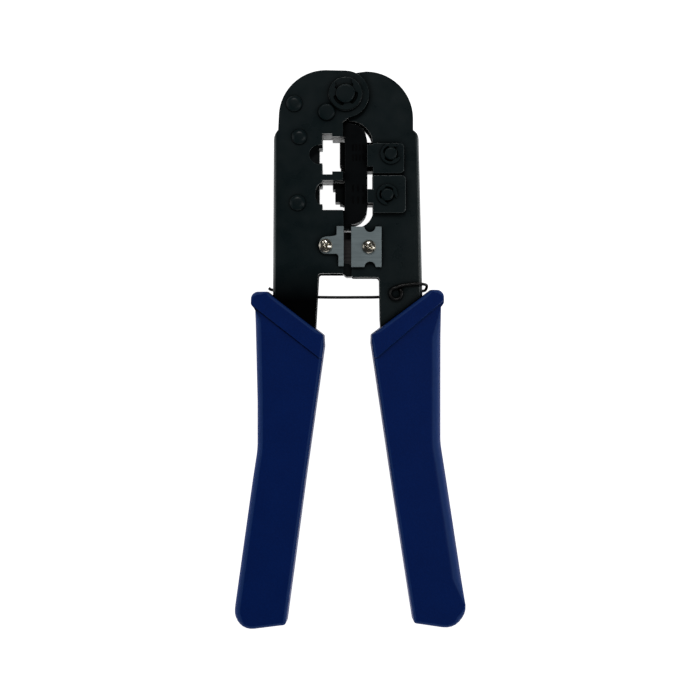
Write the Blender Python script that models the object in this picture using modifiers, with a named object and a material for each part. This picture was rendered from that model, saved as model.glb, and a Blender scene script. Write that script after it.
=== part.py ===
"""Crimping tool for 8-position and 6-position modular plugs, modelled in its closed, locked position.

The tool lies on its back: +X to the right, +Y towards the head, +Z up, floor at z = 0.
Outlines are written in millimetres from the pivot axis, heights from the tool's mid-plane.
"""
import math

import bmesh
import bpy
from mathutils import Matrix, Vector

MM = 0.001
NAME = "crimping_tool"

# Where the pivot axis crosses the mid-plane, so that the world origin is at the bottom centre.
PIVOT = Vector((-1.57, 87.09, 11.0))

# Layers, as heights from the mid-plane.
CORE = 5.5
INNER_LOW = 5.8
INNER_HIGH = 7.6
OUTER_LOW = 7.9
OUTER_HIGH = 9.7
HEAD_LOW = 10.0
BACK = 11.0
GAP = 0.3

# Both frames have one outline: the right one is mirrored, set out by a shift and stands open by an angle.
SPREAD = math.radians(1.0)
RIGHT_SHIFT = 0.4
SPINE_THICKNESS = 1.8
SPINE_BEND = 1.5
SPINE_TOP = (-24.4, -13.9)
SPINE_OUTER = [SPINE_TOP, (-24.7, -65.0), (-24.9, -105.0), (-25.2, -115.0), (-27.5, -140.0)]
TANG_INNER = [(-18.5, -140.0), (-14.0, -105.0), (-10.6, -86.0), (-10.1, -77.0)]

# Head.
LEFT_ARC_R = 16.0
RIGHT_ARC_R = 16.1
LEFT_ARC = (-6.7, -7.85)
RIGHT_ARC = (7.0, -8.1)
LEFT_BOSS_R = 8.0
RIGHT_BOSS_R = 7.0
PIN_R = 3.2

# Die sockets, open towards the rams: y of the walls, and how far the wide part stands back from them.
SHOULDER_X = -4.5
SOCKET_BACK_X = -7.9
LATCH_X = -8.9
SOCKET_8P = {"top": -14.45, "bottom": -26.3, "shoulder": 1.0, "latch": (-18.0, -23.1), "scoop": 4.5}
SOCKET_6P = {"top": -29.3, "bottom": -39.4, "shoulder": 0.0, "latch": (-31.1, -37.1), "scoop": 2.4}

# Ram guide plate.
GUIDE_LEFT = -21.3
GUIDE_RIGHT = 7.5
GUIDE_TOP = -9.6
GUIDE_BOTTOM = -44.1
GUIDE_BAR_LEFT = -0.2

# Window of the right frame round the guide plate.
WINDOW_RIGHT = 9.3
WINDOW_NOTCH = 10.6
WINDOW_TOP_ARC = (1.6, -16.6, 7.7)
WINDOW_LOW_ARC = (3.35, -39.3, 6.1)

# Rams: pin centre, travel of the pin along its slot, and the slot's half width.
RAM_PIN_R = 2.1
SLOT_HALF = 2.5
PIN_8P = (15.4, -20.3)
PIN_6P = (14.2, -34.2)
SLOT_TRAVEL_8P = 3.75
SLOT_TRAVEL_6P = 3.8

# Blade station.
STRIPPER_SCREW = (-6.75, -51.6)
CUTTER_SCREW = (8.0, -51.9)
SCREW_R = 1.3
SCREW_HEAD_R = 2.35

# Rivets: name, centre, head radius.
RIVET_R = 1.5
RIVETS = [
    ("rivet_top_left", (-17.4, -3.3), 2.7),
    ("rivet_spring_anchor", (-6.4, -6.15), 2.8),
    ("rivet_middle", (-15.7, -14.6), 2.55),
    ("rivet_lower", (-16.3, -37.0), 2.7),
]

# Lock wire.
WIRE_R = 0.5
WIRE_EYE = (17.2, -67.8)
WIRE_EYE_R = 2.0
WIRE_HOLE_ANGLE = 42.0
WIRE_HOLE_R = 0.85
WIRE_SLOT_LEFT = (-65.0, -68.3)
WIRE_SLOT_RIGHT = (-64.9, -68.4)


# ---------------------------------------------------------------- outlines

def arc(centre, radius, start, end, steps):
    """Points along an arc from one angle to another, in degrees."""
    points = []
    for i in range(steps + 1):
        angle = math.radians(start + (end - start) * i / steps)
        points.append((centre[0] + radius * math.cos(angle), centre[1] + radius * math.sin(angle)))
    return points


def circle(centre, radius, steps=20):
    """Closed loop of points round a circle."""
    return arc(centre, radius, 0.0, 360.0, steps)[:-1]


def slot(centre, travel, half, steps=8):
    """Upright slot with round ends; it runs down from the centre by the travel."""
    low = (centre[0], centre[1] - travel)
    return arc(centre, half, 0.0, 180.0, steps) + arc(low, half, 180.0, 360.0, steps)


def rounded(corners, steps=5):
    """Closed outline whose corners are (x, y) or (x, y, radius)."""
    points = []
    for i, corner in enumerate(corners):
        here = Vector(corner[:2])
        if len(corner) == 2:
            points.append(tuple(here))
            continue
        back = (Vector(corners[i - 1][:2]) - here).normalized()
        ahead = (Vector(corners[(i + 1) % len(corners)][:2]) - here).normalized()
        half = back.angle(ahead) / 2
        centre = here + (back + ahead).normalized() * (corner[2] / math.sin(half))
        first = here + back * (corner[2] / math.tan(half)) - centre
        last = here + ahead * (corner[2] / math.tan(half)) - centre
        start = math.atan2(first.y, first.x)
        turn = (math.atan2(last.y, last.x) - start + math.pi) % (2 * math.pi) - math.pi
        points += arc(centre, corner[2], math.degrees(start), math.degrees(start + turn), steps)
    return points


def moved(points, dx, dy):
    """The same points, shifted."""
    return [(x + dx, y + dy) for x, y in points]


def right_hand(corners):
    """Corners of the left handle, mirrored, shifted and turned by the spread, in reverse order."""
    result = []
    for corner in reversed(corners):
        x = RIGHT_SHIFT - corner[0]
        y = corner[1]
        turned_x = x * math.cos(SPREAD) - y * math.sin(SPREAD)
        turned_y = x * math.sin(SPREAD) + y * math.cos(SPREAD)
        result.append((turned_x, turned_y) + tuple(corner[2:]))
    return result


def latch_notch(socket):
    """Notch for the plug's latch, from its upper corner to its lower one."""
    high, low = socket["latch"]
    return [(SOCKET_BACK_X, high), (LATCH_X, high), (LATCH_X, low), (SOCKET_BACK_X, low)]


def scoop(socket, steps=8):
    """Half-elliptic recess beside the latch notch."""
    high, low = socket["latch"]
    middle = (high + low) / 2
    half = (high - low) / 2 + 1.0
    points = []
    for i in range(steps + 1):
        angle = math.pi * i / steps
        x = SOCKET_BACK_X - socket["scoop"] * math.sin(angle)
        points.append((x, middle + half * math.cos(angle)))
    return points


def socket_edge(socket, right_x, back):
    """Walls of a die socket from its upper right corner round to its lower right corner."""
    top = socket["top"]
    bottom = socket["bottom"]
    step = socket["shoulder"]
    upper = [(right_x, top)]
    lower = [(right_x, bottom)]
    if step:
        upper += [(SHOULDER_X, top), (SHOULDER_X, top + step)]
        lower = [(SHOULDER_X, bottom - step), (SHOULDER_X, bottom)] + lower
    upper.append((SOCKET_BACK_X, top + step))
    lower.insert(0, (SOCKET_BACK_X, bottom - step))
    return upper + back + lower


# ---------------------------------------------------------------- building blocks

def clear_scene():
    """Remove every object of the scene."""
    for obj in list(bpy.data.objects):
        bpy.data.objects.remove(obj, do_unlink=True)


def new_collection(name):
    """Collection linked to the scene."""
    group = bpy.data.collections.new(name)
    bpy.context.scene.collection.children.link(group)
    return group


def new_hub(name, x, y):
    """Empty on a joint's axis, at a place given from the pivot."""
    hub = bpy.data.objects.new(name, None)
    hub.location = (PIVOT + Vector((x, y, 0))) * MM
    hub.empty_display_size = 0.01
    PARTS.objects.link(hub)
    return hub


def add_object(name, data, hub, group, offset=(0, 0, 0)):
    """Object with this data under a hub."""
    obj = bpy.data.objects.new(name, data)
    obj.parent = hub
    obj.location = Vector(offset) * MM
    group.objects.link(obj)
    return obj


def curve_mesh(curve):
    """Welded mesh of a curve, whose temporary object is removed."""
    guide = bpy.data.objects.new(curve.name, curve)
    bpy.context.scene.collection.objects.link(guide)
    bpy.context.view_layer.update()
    evaluated = guide.evaluated_get(bpy.context.evaluated_depsgraph_get())
    mesh = bpy.data.meshes.new_from_object(evaluated)
    mesh.transform(guide.matrix_world)
    bpy.data.objects.remove(guide, do_unlink=True)
    bpy.data.curves.remove(curve)
    shape = bmesh.new()
    shape.from_mesh(mesh)
    bmesh.ops.remove_doubles(shape, verts=shape.verts, dist=1e-6)
    shape.to_mesh(mesh)
    shape.free()
    return mesh


def plate_mesh(name, loops, low, high):
    """Flat plate between two heights; the loops are its outline and its holes."""
    curve = bpy.data.curves.new(name, "CURVE")
    curve.dimensions = "2D"
    curve.fill_mode = "BOTH"
    curve.extrude = (high - low) / 2 * MM
    for loop in loops:
        spline = curve.splines.new("POLY")
        spline.points.add(len(loop) - 1)
        for point, (x, y) in zip(spline.points, loop):
            point.co = (x * MM, y * MM, 0, 1)
        spline.use_cyclic_u = True
    mesh = curve_mesh(curve)
    mesh.transform(Matrix.Translation((0, 0, (low + high) / 2 * MM)))
    return mesh


def plate(name, hub, material, loops, low, high):
    """Visible flat plate."""
    obj = add_object(name, plate_mesh(name, loops, low, high), hub, PARTS)
    paint(obj, material)
    return obj


def turned(name, hub, material, profile, place=(0, 0), segments=24):
    """Solid turned about an upright axis; the profile of (radius, height) runs from top to bottom."""
    mesh = bpy.data.meshes.new(name)
    points = [(radius * MM, 0, height * MM) for radius, height in profile]
    mesh.from_pydata(points, [(i, i + 1) for i in range(len(points) - 1)], [])
    obj = add_object(name, mesh, hub, PARTS, (place[0], place[1], 0))
    screw = obj.modifiers.new("turn", "SCREW")
    screw.steps = segments
    screw.render_steps = segments
    screw.use_merge_vertices = True
    screw.merge_threshold = 1e-6
    screw.use_smooth_shade = False
    paint(obj, material)
    return obj


def wire(name, hub, material, points, radius):
    """Round wire through the points."""
    curve = bpy.data.curves.new(name, "CURVE")
    curve.dimensions = "3D"
    curve.bevel_depth = radius * MM
    curve.bevel_resolution = 2
    curve.use_fill_caps = True
    spline = curve.splines.new("POLY")
    spline.points.add(len(points) - 1)
    for point, place in zip(spline.points, points):
        point.co = (place[0] * MM, place[1] * MM, place[2] * MM, 1)
    obj = add_object(name, curve, hub, PARTS)
    paint(obj, material)
    return obj


def cutter(name, target, loops, low, high):
    """Cut a flat shape out of the target with an exact Boolean."""
    obj = add_object(name, plate_mesh(name, loops, low, high), target.parent, CUTTERS)
    obj.hide_render = True
    obj.display_type = "WIRE"
    boolean = target.modifiers.new(name, "BOOLEAN")
    boolean.operation = "DIFFERENCE"
    boolean.solver = "EXACT"
    boolean.object = obj


def joined(name, target, loops, low, high):
    """Unite a flat shape with the target by an exact Boolean."""
    cutter(name, target, loops, low, high)
    target.modifiers[name].operation = "UNION"


def soften(mesh, chosen, width, segments):
    """Round the sharp edges of a mesh whose two ends both satisfy the test."""
    shape = bmesh.new()
    shape.from_mesh(mesh)
    sharp = [edge for edge in shape.edges if edge.calc_face_angle(0) > math.radians(40)]
    edges = [edge for edge in sharp if all(chosen(vert.co / MM) for vert in edge.verts)]
    bmesh.ops.bevel(shape, geom=edges, offset=width * MM, segments=segments, profile=0.5, affect="EDGES")
    shape.to_mesh(mesh)
    shape.free()


def new_material(name, colour, roughness, metallic):
    """Principled material."""
    material = bpy.data.materials.new(name)
    material.use_nodes = True
    shader = material.node_tree.nodes["Principled BSDF"]
    shader.inputs["Base Color"].default_value = (*colour, 1)
    shader.inputs["Roughness"].default_value = roughness
    shader.inputs["Metallic"].default_value = metallic
    material.diffuse_color = (*colour, 1)
    return material


def paint(obj, finish):
    """Give an object its own material of a finish, and smooth its round faces."""
    obj.data.materials.append(new_material(obj.name, *FINISHES[finish]))
    if obj.type == "MESH" and obj.data.polygons:
        obj.data.shade_smooth()
        obj.data.set_sharp_from_angle(angle=math.radians(32))


# Colour, roughness and metallic value of each finish.
FINISHES = {
    "black_steel": ((0.010, 0.014, 0.016), 0.42, 0.55),
    "guide_black": ((0.006, 0.006, 0.009), 0.45, 0.5),
    "bare_steel": ((0.30, 0.33, 0.34), 0.38, 0.9),
    "nickel": ((0.75, 0.72, 0.65), 0.25, 1.0),
    "spring_steel": ((0.02, 0.02, 0.02), 0.35, 0.8),
    "blue_grip": ((0.006, 0.018, 0.085), 0.55, 0.0),
}


# ---------------------------------------------------------------- left handle

def spine_inner():
    """Inner face of the left spine, from top to bottom."""
    line = [(x + SPINE_THICKNESS, y) for x, y in SPINE_OUTER]
    line[0] = (line[0][0], SPINE_TOP[1] + 0.5)
    x, y = line[-1]
    line[-1] = (x - 0.5, y - 5.0)
    return line


def on_spine(height):
    """Test for the points on the outer edges of a spine."""
    def test(point):
        low_enough = point.y < SPINE_TOP[1] + 0.6
        outside = abs(point.x) > 24.0
        return low_enough and outside and abs(abs(point.z) - height) < 0.01
    return test


def left_frame_outline():
    """Left plate, clockwise from the top of the boss."""
    right_x = -0.9
    corners = arc((0, 0), LEFT_BOSS_R, 90.0, -82.0, 16)
    corners += [(right_x, -9.5)]
    corners += socket_edge(SOCKET_8P, right_x, scoop(SOCKET_8P))
    corners += socket_edge(SOCKET_6P, right_x, scoop(SOCKET_6P))
    corners += [(-0.7, -42.0), (-0.7, -61.0, 0.4), (-9.2, -61.0, 0.8)]
    corners += list(reversed(TANG_INNER))
    corners += list(reversed(SPINE_OUTER))
    corners += [(-22.9, -12.2)]
    corners += arc(LEFT_ARC, LEFT_ARC_R, 180.0, 90.0, 14)
    return rounded(corners)


def make_left_frame(hub):
    """Stamped channel: two plates and a spine, with the tang in the grip."""
    loops = [left_frame_outline(), circle((0, 0), PIN_R + GAP, 24)]
    loops += [circle(centre, RIVET_R + GAP, 14) for _, centre, _ in RIVETS]
    loops.append(circle(STRIPPER_SCREW, SCREW_R + GAP, 14))
    mesh = plate_mesh("left_frame", loops, -OUTER_HIGH, OUTER_HIGH)
    soften(mesh, on_spine(OUTER_HIGH), SPINE_BEND, 3)
    frame = add_object("left_frame", mesh, hub, PARTS)
    paint(frame, "black_steel")
    inside = spine_inner() + [(14.0, -145.0), (14.0, 12.0), (-32.0, 12.0), (-32.0, SPINE_TOP[1] + 0.5)]
    cutter("left_channel_cutter", frame, [inside], -OUTER_LOW, OUTER_LOW)
    high, low = WIRE_SLOT_LEFT
    hole = [(-28.0, high), (-20.0, high), (-20.0, low), (-28.0, low)]
    cutter("left_wire_slot_cutter", frame, [hole], -1.5, 1.5)


def make_die_block(hub):
    """Steel block between the plates with the walls of both sockets and the channels of both rams."""
    ram_x = -0.4
    bar_x = GUIDE_RIGHT - 0.3
    corners = arc(LEFT_ARC, LEFT_ARC_R - 1.4, 180.0, 118.0, 6)
    corners += [(-10.3, 3.0), (-10.3, GUIDE_TOP), (bar_x, GUIDE_TOP, 5.0), (bar_x, -15.7), (ram_x, -15.7)]
    corners += socket_edge(SOCKET_8P, ram_x, latch_notch(SOCKET_8P))
    corners += [(bar_x, -26.6), (bar_x, -29.7), (ram_x, -29.7)]
    corners += socket_edge(SOCKET_6P, ram_x, latch_notch(SOCKET_6P))
    corners += [(ram_x, -37.7), (bar_x, -37.7), (bar_x, -43.5, 4.0), (2.1, -43.5), (2.1, -46.0)]
    corners += [(-0.9, -46.0), (-0.9, -57.4), (1.4, -57.4), (1.4, -57.9), (3.2, -57.9), (3.2, -60.7)]
    corners += [(2.4, -60.9), (2.4, -61.6), (2.0, -62.0), (0.3, -62.0), (-0.9, -61.0), (-0.9, -60.2)]
    corners += [(GUIDE_LEFT, -60.2)]
    loops = [rounded(corners)]
    loops += [circle(centre, RIVET_R + GAP, 14) for name, centre, _ in RIVETS if "anchor" not in name]
    loops.append(circle(STRIPPER_SCREW, SCREW_R + GAP, 14))
    block = plate("die_block", hub, "black_steel", loops, -CORE, CORE)
    pocket = [(-9.8, -46.1), (4.0, -46.1), (4.0, -58.2), (-9.8, -58.2)]
    cutter("inner_blade_pocket_cutter", block, [pocket], -0.9, 0.9)


def make_guides(hub):
    """Guide plates in front of and behind the rams."""
    corners = [(GUIDE_LEFT, GUIDE_TOP), (GUIDE_RIGHT, GUIDE_TOP, 7.0), (GUIDE_RIGHT, GUIDE_BOTTOM, 5.6)]
    corners += [(-1.0, GUIDE_BOTTOM), (-1.0, -60.2), (GUIDE_LEFT, -60.2)]
    loops = [rounded(corners, 7)]
    for socket in (SOCKET_8P, SOCKET_6P):
        loops.append(socket_edge(socket, GUIDE_BAR_LEFT, scoop(socket)))
    loops += [circle(centre, RIVET_R + GAP, 14) for _, centre, _ in RIVETS[2:]]
    loops.append(circle(STRIPPER_SCREW, SCREW_R + GAP, 14))
    plate("ram_guide_front", hub, "guide_black", loops, INNER_LOW, INNER_HIGH)
    plate("ram_guide_back", hub, "guide_black", loops, -INNER_HIGH, -INNER_LOW)


def make_rivets(hub):
    """Rivets through both plates."""
    for name, centre, head in RIVETS:
        top = HEAD_LOW + 0.9
        profile = [(0, top), (head - 0.5, top), (head, top - 0.4), (head, HEAD_LOW), (RIVET_R, HEAD_LOW)]
        profile += [(radius, -height) for radius, height in reversed(profile)]
        turned(name, hub, "black_steel", profile, centre, 20)


def clip_outline(inner, outer, opening, half_gap):
    """Retaining clip: a ring with a gap that faces the opening angle, in degrees."""
    ring = arc((0, 0), outer, opening + half_gap, opening + 360.0 - half_gap, 20)
    ring += arc((0, 0), inner, opening + 360.0 - half_gap * 1.5, opening + half_gap * 1.5, 14)
    return ring


def make_pivot(hub):
    """Hinge pin with its head at the back, its washer and its retaining clip."""
    groove = PIN_R - 0.6
    profile = [(0, 11.9), (PIN_R - 0.4, 11.9), (PIN_R, 11.5), (PIN_R, 11.2), (groove, 11.2), (groove, 10.6)]
    profile += [(PIN_R, 10.6), (PIN_R, -HEAD_LOW), (4.8, -HEAD_LOW), (4.8, -BACK + 0.3), (4.5, -BACK), (0, -BACK)]
    turned("pivot_pin", hub, "black_steel", profile)
    washer = [circle((0, 0), 5.75, 28), circle((0, 0), PIN_R + GAP, 24)]
    plate("pivot_washer", hub, "black_steel", washer, HEAD_LOW, 10.45)
    clip = clip_outline(groove + 0.25, 5.5, 100.0, 30.0)
    plate("pivot_e_clip", hub, "black_steel", [clip], 10.7, 11.1)


def make_return_spring(hub):
    """Torsion spring round the pin; one leg rests on the anchor rivet, the other runs to the right spine."""
    radius = 4.4
    per_turn = 16
    steps = int(5.375 * per_turn)
    half_height = 3.9
    leg = 24.5
    last = math.radians(180.0 - 360.0 * steps / per_turn)
    points = [(-4.0, -8.9, half_height), (-4.05, -4.0, half_height)]
    for i in range(steps + 1):
        angle = math.pi - 2 * math.pi * i / per_turn
        height = half_height * (1 - 2 * i / steps)
        points.append((radius * math.cos(angle), radius * math.sin(angle), height))
    x, y, height = points[-1]
    points.append((x + leg * math.sin(last), y - leg * math.cos(last), height))
    wire("return_spring", hub, "spring_steel", points, 0.55)


def make_left_blades(hub):
    """Stripper blade on the front plate, its screw, and the fixed blade on the mid-plane."""
    x, y = STRIPPER_SCREW
    tab_top = y + 2.8
    tab_low = y - 2.8
    corners = [(-0.6, -45.0), (-0.6, -58.6), (-2.4, -58.6), (-2.4, tab_low, 1.0), (x - 2.2, tab_low, 2.3)]
    corners += [(x - 2.2, tab_top, 2.3), (-3.0, tab_top + 0.6, 0.8), (-3.0, -45.0)]
    loops = [rounded(corners), circle(STRIPPER_SCREW, SCREW_R + GAP, 14)]
    plate("stripper_blade", hub, "bare_steel", loops, HEAD_LOW, HEAD_LOW + 0.9)
    inner = [(-9.4, -46.4), (3.0, -46.4), (3.0, -57.9), (-9.4, -57.9)]
    loops = [inner, circle(STRIPPER_SCREW, SCREW_R + GAP, 14)]
    plate("inner_blade", hub, "bare_steel", loops, -0.6, 0.6)
    make_screw("stripper_screw", hub, STRIPPER_SCREW, HEAD_LOW + 1.2, -OUTER_HIGH)


def make_screw(name, hub, place, seat, end):
    """Pan-head machine screw that sits on the given height."""
    head = SCREW_HEAD_R
    profile = [(0, seat + 1.3), (head * 0.55, seat + 1.2), (head * 0.88, seat + 0.85), (head, seat + 0.4)]
    profile += [(head, seat), (SCREW_R, seat), (SCREW_R, end + 0.3), (SCREW_R - 0.3, end), (0, end)]
    screw = turned(name, hub, "nickel", profile, place, 20)
    for index, (wide, tall) in enumerate(((0.35, 1.35), (1.35, 0.35))):
        x, y = place
        cross = [(x - wide, y - tall), (x + wide, y - tall), (x + wide, y + tall), (x - wide, y + tall)]
        cutter(f"{name}_cross_cutter_{index}", screw, [cross], seat + 0.5, seat + 2.0)


def left_grip_corners():
    """Left grip from its outer top bulb, clockwise."""
    return [
        (-32.48, -66.83, 2.8), (-26.6, -66.83, 1.8), (-7.1, -81.8, 1.8), (-6.9, -85.6, 3.0), (-13.45, -132.1),
        (-17.15, -159.8), (-20.0, -180.95, 2.0), (-38.9, -183.3, 6.5), (-37.9, -173.6), (-32.1, -132.1),
        (-30.35, -120.6, 30.0), (-30.35, -104.5), (-31.05, -74.4), (-31.05, -72.9, 0.4), (-32.48, -72.2, 1.9),
    ]


def right_grip_corners():
    """Right grip from its outer top bulb, anticlockwise."""
    return [
        (33.85, -66.2, 2.8), (29.2, -66.2, 1.8), (8.6, -81.6, 1.8), (8.5, -84.6, 3.0), (15.55, -132.1),
        (19.8, -159.8), (23.0, -180.35, 2.0), (42.3, -183.2, 7.3), (41.2, -173.6), (34.9, -132.1),
        (32.8, -118.8, 30.0), (32.8, -104.5), (32.85, -74.0), (32.85, -72.3, 0.4), (33.85, -71.6, 1.9),
    ]


def cavity_corners():
    """Pocket for the left tang, open above the collar."""
    outer = [(x - GAP, y) for x, y in SPINE_OUTER[1:]]
    outer[0] = (outer[0][0], -60.0)
    x, y = outer[-1]
    outer[-1] = (x, y - 0.5)
    inner = [(x + GAP, y) for x, y in TANG_INNER]
    x, y = inner[0]
    inner[0] = (x, y - 0.5)
    inner[-1] = (inner[-1][0], -60.0)
    return inner + outer


def make_grip(name, hub, outline, pocket, pocket_half):
    """Moulded grip with rounded edges and a pocket for the frame's tang."""
    mesh = plate_mesh(name, [rounded(outline, 6)], -BACK, BACK)
    soften(mesh, lambda point: abs(abs(point.z) - BACK) < 0.01, 1.6, 3)
    grip = add_object(name, mesh, hub, PARTS)
    paint(grip, "blue_grip")
    cutter(f"{name}_pocket_cutter", grip, [pocket], -pocket_half, pocket_half)


# ---------------------------------------------------------------- right handle

def make_right_frame(hub):
    """Narrower stamped channel whose plates run between those of the left frame."""
    x, y, radius = WINDOW_TOP_ARC
    outline = arc((0, 0), RIGHT_BOSS_R, 90.0, 270.0, 14)
    outline += arc((x, y), radius, 90.0, 4.0, 8)
    outline += [(WINDOW_RIGHT, -16.9), (WINDOW_NOTCH, -16.9), (WINDOW_NOTCH, -26.6), (WINDOW_RIGHT, -26.6)]
    outline += [(WINDOW_RIGHT, -31.5), (WINDOW_NOTCH, -31.5), (WINDOW_NOTCH, -40.1)]
    x, y, radius = WINDOW_LOW_ARC
    outline += arc((x, y), radius, -14.0, -72.0, 6)
    outline += [(2.3, -46.3), (2.1, -62.2, 0.6), (11.6, -62.2, 1.0)]
    outline += right_hand(TANG_INNER)
    outline += right_hand(SPINE_OUTER)
    outline += [(23.1, -12.0)]
    outline += arc(RIGHT_ARC, RIGHT_ARC_R, 0.0, 90.0, 14)
    loops = [rounded(outline), circle((0, 0), PIN_R + GAP, 24)]
    loops.append(slot(PIN_8P, SLOT_TRAVEL_8P, SLOT_HALF))
    loops.append(slot(PIN_6P, SLOT_TRAVEL_6P, SLOT_HALF))
    loops.append(circle(CUTTER_SCREW, SCREW_R + GAP, 14))
    loops.append(circle(on_wire_eye(WIRE_HOLE_ANGLE), WIRE_HOLE_R, 12))
    mesh = plate_mesh("right_frame", loops, -INNER_HIGH, INNER_HIGH)
    soften(mesh, on_spine(INNER_HIGH), SPINE_BEND, 3)
    frame = add_object("right_frame", mesh, hub, PARTS)
    paint(frame, "black_steel")
    inside = right_hand(spine_inner())
    inside = [(32.0, inside[-1][1]), (32.0, 12.0), (-12.0, 12.0), (-12.0, -145.0)] + inside
    cutter("right_channel_cutter", frame, [inside], -INNER_LOW, INNER_LOW)
    high, low = WIRE_SLOT_RIGHT
    hole = [(20.0, high), (30.0, high), (30.0, low), (20.0, low)]
    cutter("right_wire_slot_cutter", frame, [hole], -1.5, 1.5)


def make_right_blades(hub):
    """Notched cutter plate on the front plate, its screw, and the moving blade behind it."""
    x, y = CUTTER_SCREW
    notch = 1.9
    top = -45.0
    low = -58.8
    notch_x = 8.35
    corners = [(1.95, top)] + arc((notch_x, top), notch, 180.0, 360.0, 8) + [(12.3, top), (12.3, low)]
    corners += arc((notch_x, low), notch, 0.0, 180.0, 8) + [(1.95, low)]
    loops = [corners, circle(CUTTER_SCREW, SCREW_R + GAP, 14)]
    plate("cutter_plate", hub, "bare_steel", loops, OUTER_LOW, OUTER_LOW + 1.1)
    blade = [(2.4, -46.4), (12.0, -46.4), (12.0, -57.6), (2.4, -57.6)]
    loops = [blade, circle(CUTTER_SCREW, SCREW_R + GAP, 14)]
    plate("cutting_blade", hub, "bare_steel", loops, 0.9, CORE)
    make_screw("cutter_screw", hub, CUTTER_SCREW, OUTER_LOW + 1.4, -INNER_HIGH)


def on_wire_eye(angle):
    """Point of the lock wire's eye at an angle, in degrees."""
    return arc(WIRE_EYE, WIRE_EYE_R, angle, angle, 1)[0]


def smooth_path(corners, count):
    """Points read from a Catmull-Rom curve through the corners."""
    knots = [Vector(corner) for corner in corners]
    knots = [2 * knots[0] - knots[1]] + knots + [2 * knots[-1] - knots[-2]]
    spans = len(knots) - 3
    points = []
    for i in range(count + 1):
        place = min(i / count * spans, spans - 1e-9)
        span = int(place)
        t = place - span
        a, b, c, d = knots[span:span + 4]
        point = b + (c - a) * t / 2 + (2 * a - 5 * b + 4 * c - d) * t ** 2 / 2
        point += (3 * b - a - 3 * c + d) * t ** 3 / 2
        points.append(tuple(point))
    return points


def make_lock_wire(hub):
    """Wire from its hole in the right plate round an eye, over the spine and across the mouth."""
    height = INNER_HIGH + GAP + WIRE_R
    x, y = on_wire_eye(WIRE_HOLE_ANGLE)
    points = [(x, y, INNER_LOW), (x, y, INNER_HIGH), (x + 0.05, y - 0.05, height - 0.2)]
    start = WIRE_HOLE_ANGLE - 12.0
    turn = start + 270.0
    steps = 18
    for i in range(steps + 1):
        points.append((*on_wire_eye(start - turn * i / steps), height))
    route = [points[-1], (18.6, -65.2, height), (21.0, -64.8, height), (24.6, -64.5, height - 0.2)]
    route += [(27.3, -64.7, height - 1.8), (27.9, -65.3, 4.0), (27.5, -66.4, 0.9), (26.3, -66.7, 0.0)]
    route += [(23.5, -66.8, 0.0), (18.0, -67.7, 0.0), (12.0, -68.7, 0.0), (4.0, -68.85, 0.0)]
    route += [(-6.0, -68.85, 0.0), (-12.0, -68.6, 0.0), (-18.0, -67.4, 0.0), (-23.5, -66.5, 0.0)]
    route += [(-25.7, -66.2, 0.0), (-26.5, -65.6, 0.0)]
    points = points[:-1] + smooth_path(route, 60)
    wire("lock_wire", hub, "spring_steel", points, WIRE_R)


# ---------------------------------------------------------------- rams

def comb(x, high, low, teeth):
    """Small contact teeth that point to the left along an upright edge."""
    pitch = (high - low) / teeth
    points = []
    for i in range(teeth):
        y = high - pitch * i
        points += [(x, y - pitch * 0.25), (x - 0.9, y - pitch * 0.25), (x - 0.9, y - pitch * 0.75)]
        points += [(x, y - pitch * 0.75)]
    return points


def make_ram(size, hub, pin, core, riser, tab, clip_opening):
    """Sliding ram with the two plates that straddle the right frame, its pin and the pin's clip."""
    def local(points):
        return moved(points, -pin[0], -pin[1])

    name = f"ram_{size}"
    loops = [local(core), circle((0, 0), RAM_PIN_R + GAP, 16)]
    ram = plate(name, hub, "black_steel", loops, -CORE, CORE)
    joined(f"{name}_riser", ram, [local(riser)], -INNER_HIGH, INNER_HIGH)
    loops = [local(rounded(tab)), circle((0, 0), RAM_PIN_R + GAP, 16)]
    plate(f"{name}_plate_front", hub, "black_steel", loops, OUTER_LOW, OUTER_HIGH)
    plate(f"{name}_plate_back", hub, "black_steel", loops, -OUTER_HIGH, -OUTER_LOW)
    groove = RAM_PIN_R - 0.5
    profile = [(0, 11.1), (RAM_PIN_R - 0.3, 11.1), (RAM_PIN_R, 10.8), (RAM_PIN_R, 10.6), (groove, 10.6)]
    profile += [(groove, 9.95), (RAM_PIN_R, 9.95), (RAM_PIN_R, -HEAD_LOW), (3.0, -HEAD_LOW), (3.0, -10.6)]
    profile += [(2.8, -10.8), (0, -10.8)]
    turned(f"{name}_pin", hub, "black_steel", profile, (0, 0), 20)
    clip = clip_outline(groove + 0.25, 3.5, clip_opening, 38.0)
    plate(f"{name}_e_clip", hub, "black_steel", [clip], 10.05, 10.5)


def tab_corners(left, tongue, right, top, low):
    """Side plate of a ram: a tongue on the left and a plate with rounded right corners."""
    high, deep = tongue
    return [
        (left, high), (9.4, high), (9.4, top), (right, top, 1.4), (right, low, 1.4), (9.4, low),
        (9.4, deep), (left, deep),
    ]


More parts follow.
